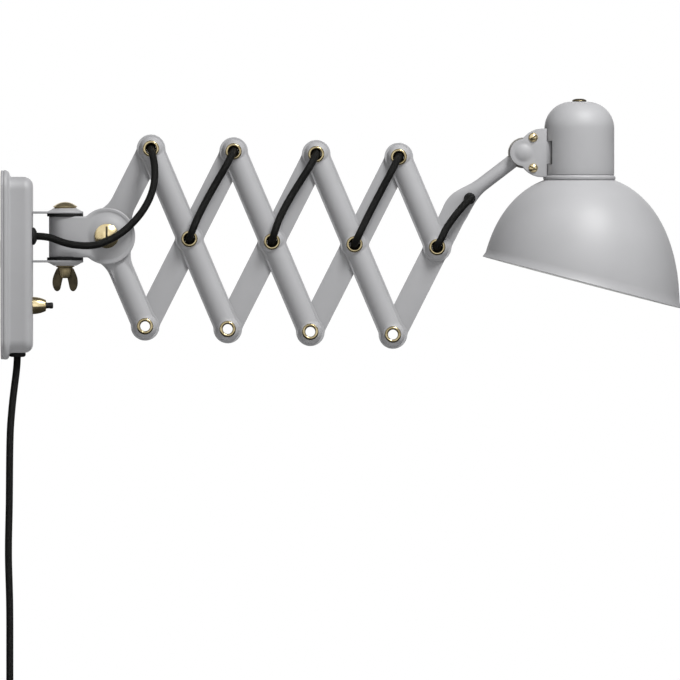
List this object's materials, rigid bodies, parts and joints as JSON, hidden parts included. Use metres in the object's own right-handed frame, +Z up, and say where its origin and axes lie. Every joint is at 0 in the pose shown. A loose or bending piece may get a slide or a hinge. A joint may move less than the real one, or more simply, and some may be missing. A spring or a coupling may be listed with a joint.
{
  "type": "scissor wall lamp",
  "caption": "Wall lamp on an extending scissor arm, with a swivel bracket, a ball-jointed dome shade and a corded plug.",
  "frame": {"origin": "on the wall plane at the middle of the wall box", "axes": "+X out of the wall along the scissor, +Z up, +Y along the wall"},
  "size_m": [0.7281, 0.2171, 0.7948],
  "materials": {
    "paint": "satin",
    "brass": "polished",
    "textile_cord": "matte",
    "black_rubber": "satin",
    "black_plastic": "satin",
    "white_plastic": "satin"
  },
  "bodies": {
    "wall_base": {"back_plate": "paint", "wall_cover": "paint", "cover_screws": "brass", "terminal_block": "white_plastic", "switch_body": "black_plastic", "switch_collar": "brass", "front_grommet": "black_rubber", "mains_grommet": "black_rubber", "bracket": "paint", "swivel_washers": "black_rubber", "swivel_bolt": "brass", "mains_lead": "textile_cord", "mains_coil": "textile_cord", "coil_tie": "black_rubber", "plug": "black_plastic", "plug_pins": "brass"},
    "switch_button": {"switch_button": "black_plastic"},
    "wing_nut": {"wing_nut": "brass"},
    "knuckle": {"knuckle": "paint", "lead_wall": "textile_cord"},
    "hub": {"hub_screw": "brass"},
    "upper_base_arm": {"upper_base_arm": "paint", "lead_base": "textile_cord"},
    "lower_base_arm": {"lower_base_arm": "paint", "eyelet_base": "brass"},
    "front_arm_1": {"front_arm_1": "paint", "eyelets_1": "brass", "lead_back_1": "textile_cord"},
    "back_arm_1": {"back_arm_1": "paint", "lead_front_1": "textile_cord"},
    "front_arm_2": {"front_arm_2": "paint", "eyelets_2": "brass", "lead_back_2": "textile_cord"},
    "back_arm_2": {"back_arm_2": "paint", "lead_front_2": "textile_cord"},
    "front_arm_3": {"front_arm_3": "paint", "eyelets_3": "brass", "lead_back_3": "textile_cord"},
    "back_arm_3": {"back_arm_3": "paint", "lead_front_3": "textile_cord"},
    "front_end_arm": {"front_end_arm": "paint", "eyelets_end": "brass", "lead_back_4": "textile_cord"},
    "lamp_arm": {"lamp_arm": "paint", "lead_end": "textile_cord", "lead_bushing": "black_rubber"},
    "ball_stud": {"ball_stud": "brass"},
    "head": {"clamp_front": "paint", "clamp_rear": "paint", "clamp_screws": "brass", "shade_housing": "paint", "shade": "paint", "top_knob": "brass", "lampholder": "black_plastic"}
  },
  "joints": [
    {"name": "bracket_swivel", "type": "hinge", "parent": "wall_base", "child": "knuckle", "pos_m": [0.0682, 0, 0.03], "axis": [0, 0, 1], "range_deg": [-75, 75], "deforming": ["lead_wall"]},
    {"name": "scissor_tilt", "type": "hinge", "parent": "knuckle", "child": "hub", "pos_m": [0.1128, 0, 0.0308], "axis": [0, -1, 0], "range_deg": [-8, 8]},
    {"name": "scissor_extend", "type": "hinge", "parent": "hub", "child": "upper_base_arm", "pos_m": [0.1128, 0, 0.0308], "axis": [0, -1, 0], "range_deg": [-3.2, 11.5], "deforming": ["lead_base"]},
    {"name": "lower_base_fold", "type": "hinge", "parent": "hub", "child": "lower_base_arm", "pos_m": [0.1128, 0, 0.0308], "axis": [0, -1, 0], "range_deg": [-11.5, 3.2]},
    {"name": "fold_top_1", "type": "hinge", "parent": "upper_base_arm", "child": "front_arm_1", "pos_m": [0.16013, 0, 0.1243], "axis": [0, -1, 0], "range_deg": [-23, 6.4]},
    {"name": "fold_low_1", "type": "hinge", "parent": "front_arm_1", "child": "back_arm_2", "pos_m": [0.2422, 0, -0.06857], "axis": [0, -1, 0], "range_deg": [-6.4, 23]},
    {"name": "fold_top_2", "type": "hinge", "parent": "back_arm_2", "child": "front_arm_3", "pos_m": [0.33687, 0, 0.11844], "axis": [0, -1, 0], "range_deg": [-23, 6.4]},
    {"name": "fold_low_2", "type": "hinge", "parent": "front_arm_3", "child": "lamp_arm", "pos_m": [0.41893, 0, -0.07443], "axis": [0, -1, 0], "range_deg": [-6.4, 23]},
    {"name": "cross_1", "type": "hinge", "parent": "front_arm_1", "child": "back_arm_1", "pos_m": [0.20117, 0, 0.02787], "axis": [0, -1, 0], "range_deg": [-6.4, 23]},
    {"name": "cross_2", "type": "hinge", "parent": "back_arm_2", "child": "front_arm_2", "pos_m": [0.28953, 0, 0.02494], "axis": [0, -1, 0], "range_deg": [-23, 6.4]},
    {"name": "cross_3", "type": "hinge", "parent": "front_arm_3", "child": "back_arm_3", "pos_m": [0.3779, 0, 0.02201], "axis": [0, -1, 0], "range_deg": [-6.4, 23]},
    {"name": "cross_4", "type": "hinge", "parent": "lamp_arm", "child": "front_end_arm", "pos_m": [0.46626, 0, 0.01907], "axis": [0, -1, 0], "range_deg": [-23, 6.4]},
    {"name": "head_twist", "type": "hinge", "parent": "lamp_arm", "child": "ball_stud", "pos_m": [0.55854, 0.0046, 0.11997], "axis": [0.7944, 0, 0.6074], "range_deg": [-60, 60]},
    {"name": "head_tilt", "type": "hinge", "parent": "ball_stud", "child": "head", "pos_m": [0.55854, 0.0046, 0.11997], "axis": [0, -1, 0], "range_deg": [-12, 45]},
    {"name": "switch_press", "type": "slide", "parent": "wall_base", "child": "switch_button", "axis": [-1, 0, 0], "range_m": [0, 0.003], "stiffness_N_per_m": 400, "springref_m": -0.002},
    {"name": "wing_nut_turn", "type": "hinge", "parent": "wall_base", "child": "wing_nut", "pos_m": [0.0682, 0, 0.03], "axis": [0, 0, 1], "continuous": true}
  ],
  "couplings": [
    {"joint": "lower_base_fold", "follows": "scissor_extend", "ratio": -1},
    {"joint": "fold_top_1", "follows": "scissor_extend", "ratio": -2},
    {"joint": "fold_low_1", "follows": "scissor_extend", "ratio": 2},
    {"joint": "fold_top_2", "follows": "scissor_extend", "ratio": -2},
    {"joint": "fold_low_2", "follows": "scissor_extend", "ratio": 2},
    {"joint": "cross_1", "follows": "scissor_extend", "ratio": 2},
    {"joint": "cross_2", "follows": "scissor_extend", "ratio": -2},
    {"joint": "cross_3", "follows": "scissor_extend", "ratio": 2},
    {"joint": "cross_4", "follows": "scissor_extend", "ratio": -2}
  ]
}
